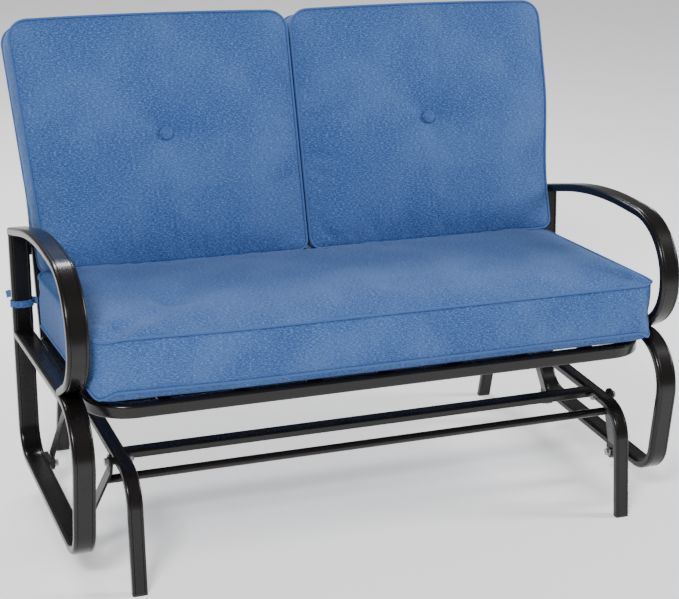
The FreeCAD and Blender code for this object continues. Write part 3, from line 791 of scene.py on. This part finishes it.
def covered_button(name, centre):
    sheet = bmesh.new()
    uv = sheet.loops.layers.uv.new("UVMap")
    rings = []
    for ring in range(1, BUTTON_RINGS + 1):
        turn = ring / BUTTON_RINGS * math.radians(125)
        loop = []
        for step in range(BUTTON_STEPS):
            angle = step / BUTTON_STEPS * math.tau
            ripple = 1 + 0.025 * math.cos(PLEATS * angle) * (ring / BUTTON_RINGS) ** 3
            radius = BUTTON_RADIUS * math.sin(min(turn, math.pi / 2)) ** 0.75 * ripple
            if turn > math.pi / 2:
                radius *= 1 - 0.25 * (turn - math.pi / 2)
            rise = BUTTON_RISE * math.cos(turn)
            flat = Vector((math.cos(angle) * radius, 0, 0))
            flat += BACK_UP * (math.sin(angle) * radius)
            loop.append(sheet.verts.new(centre + flat - BACK_OUT * rise))
        rings.append(loop)
    top = sheet.verts.new(centre - BACK_OUT * BUTTON_RISE)
    under = sheet.verts.new(centre - BACK_OUT * (BUTTON_RISE * math.cos(math.radians(125))))
    faces = []
    for k in range(BUTTON_STEPS):
        n = (k + 1) % BUTTON_STEPS
        faces.append(sheet.faces.new((top, rings[0][k], rings[0][n])))
        faces.append(sheet.faces.new((under, rings[-1][n], rings[-1][k])))
        for inner, outer in zip(rings, rings[1:]):
            faces.append(sheet.faces.new((inner[k], outer[k], outer[n], inner[n])))
    for face in faces:
        face.smooth = True
        for loop in face.loops:
            away = loop.vert.co - centre
            loop[uv].uv = (away.x, away.dot(BACK_UP))
    bmesh.ops.recalc_face_normals(sheet, faces=sheet.faces)
    mesh = bpy.data.meshes.new(name)
    sheet.to_mesh(mesh)
    sheet.free()
    mesh.materials.append(cloth)
    return add_object(name, mesh)


for name, (piece, seams, centre) in back_cushions.items():
    button = covered_button("Button_" + name, centre - BACK_OUT * BUTTON_SIT)
    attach(button, "seat")
    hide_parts("back_button_" + name)

# %% [markdown]
# ## Fabric ties
# A flat tie sewn to each rear corner of the seat cushion goes round the rear post
# and is knotted behind it, with both tails hanging loose. Each run is a ribbon: a
# path, a direction for its width, and a little thickness.

# %% Tie the cushion to the rear posts
TIE_WIDTH = 14 * MM
TIE_THICK = 1.6 * MM


def ribbon(sheet, uv, path, width_way, width):
    """Adds a closed flat band along a path of points."""
    loops = []
    along = 0.0
    for k, point in enumerate(path):
        ahead = (path[min(k + 1, len(path) - 1)] - path[max(k - 1, 0)]).normalized()
        wide = (width_way - ahead * width_way.dot(ahead)).normalized()
        thick = ahead.cross(wide)
        along += (point - path[k - 1]).length if k else 0.0
        corners = []
        for a, b in ((-1, -1), (1, -1), (1, 1), (-1, 1)):
            place = point + wide * (a * width / 2) + thick * (b * TIE_THICK / 2)
            corners.append((sheet.verts.new(place), (along, a * width / 2 + b * TIE_THICK)))
        loops.append(corners)
    for first, second in zip(loops, loops[1:]):
        for k in range(4):
            n = (k + 1) % 4
            ring = [first[k], second[k], second[n], first[n]]
            made = sheet.faces.new([corner[0] for corner in ring])
            for loop, corner in zip(made.loops, ring):
                loop[uv].uv = corner[1]
    for corners in (loops[0], loops[-1]):
        sheet.faces.new([corner[0] for corner in corners])


def soft_path(corners, steps=8):
    """Rounds a short list of corners into a smooth open path."""
    points = []
    padded = [corners[0]] + list(corners) + [corners[-1]]
    for a, b, c, d in zip(padded, padded[1:], padded[2:], padded[3:]):
        for step in range(steps):
            t = step / steps
            points.append(0.5 * (
                2 * b + (c - a) * t + (2 * a - 5 * b + 4 * c - d) * t * t
                + (3 * b - a - 3 * c + d) * t ** 3
            ))
    points.append(corners[-1])
    return points


def tie(name, side):
    low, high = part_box("seat_tie_" + name)
    z = (low.z + high.z) / 2
    post_x = side * 0.580
    post_y = low.y + 12.5 * MM
    wide, deep = 22.5 * MM, 11.0 * MM
    round_post = [
        Vector((post_x + wide * math.cos(angle), post_y + deep * math.sin(angle), z))
        for angle in (math.radians(90 + 360 * k / 24) for k in range(25))
    ]
    knot = Vector((post_x, post_y + deep + 3 * MM, z))
    anchor = Vector((side * 0.5520, post_y - 16 * MM, z + 6 * MM))
    runs = [
        round_post,
        soft_path([anchor, Vector((side * 0.5560, post_y + 4 * MM, z + 2 * MM)), knot]),
        soft_path([
            knot, knot + Vector((side * 8, 14, 5)) * MM, knot + Vector((side * 15, 32, 4)) * MM,
            knot + Vector((side * 19, 46, -3)) * MM,
        ]),
        soft_path([
            knot, knot + Vector((-side * 6, 14, -2)) * MM,
            knot + Vector((-side * 4, 24, -20)) * MM, knot + Vector((-side * 8, 27, -44)) * MM,
        ]),
        [
            knot + Vector((side * 6 * math.cos(a), 4 * math.sin(a), 5 * math.sin(2 * a))) * MM
            for a in (math.tau * k / 16 for k in range(17))
        ],
    ]
    sheet = bmesh.new()
    uv = sheet.loops.layers.uv.new("UVMap")
    for number, run in enumerate(runs):
        width = TIE_WIDTH * (0.8 if number == 4 else 1.0)
        ribbon(sheet, uv, run, Vector((0, 0, 1)), width)
    bmesh.ops.recalc_face_normals(sheet, faces=sheet.faces)
    mesh = bpy.data.meshes.new("Tie_" + name)
    sheet.to_mesh(mesh)
    sheet.free()
    mesh.materials.append(cloth)
    piece = add_object("Tie_" + name, mesh)
    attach(piece, "seat")
    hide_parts("seat_tie_" + name)
    return piece


for name, side in (("left", -1), ("right", 1)):
    print(tie(name, side).name)

# %% [markdown]
# ## Floor and light
# A pale floor and three large soft lamps, as in a small studio. The big lamp is
# high on the left, a weaker one fills from the right, and one behind the back
# draws a light line along the tubes.

# %% Floor
def plain_paint(name, colour, roughness, glow):
    paint = Paint(name, Base_Color=colour, Roughness=roughness, Emission_Strength=glow)
    paint.shader.inputs["Emission Color"].default_value = rgb(1.0, 1.0, 1.0)
    return paint.material


floor_mesh = bpy.data.meshes.new("Floor")
FLOOR_HALF = 9.0
floor_mesh.from_pydata(
    [(x, y, 0.0) for x, y in ((-1, -1), (1, -1), (1, 1), (-1, 1))], [], [(0, 1, 2, 3)]
)
floor_mesh.transform(Matrix.Scale(FLOOR_HALF, 4))
floor_mesh.materials.append(plain_paint("Pale floor", rgb(0.92, 0.92, 0.92), 0.75, 0.45))
floor = add_object("Floor", floor_mesh)

# %% Lamps
def lamp(name, place, size, watts, target=Vector((0, 0, 0.45))):
    data = bpy.data.lights.new(name, "AREA")
    data.shape = "RECTANGLE"
    data.size, data.size_y = size
    data.energy = watts
    made = add_object(name, data)
    direction = (target - place).normalized()
    turn = direction.to_track_quat("-Z", "Y").to_matrix().to_4x4()
    made.matrix_world = Matrix.Translation(place) @ turn
    return made


lamp("Key", Vector((-2.6, -3.4, 3.9)), (1.3, 0.9), 260.0)
lamp("Fill", Vector((3.4, -0.9, 2.4)), (0.6, 1.8), 110.0)
lamp("Rim", Vector((-0.6, 2.2, 2.8)), (2.4, 0.5), 90.0)
world = bpy.data.worlds.new("Studio")
world.use_nodes = True
world.node_tree.nodes["Background"].inputs["Color"].default_value = rgb(1.0, 1.0, 1.0)
world.node_tree.nodes["Background"].inputs["Strength"].default_value = 0.22
scene.world = world
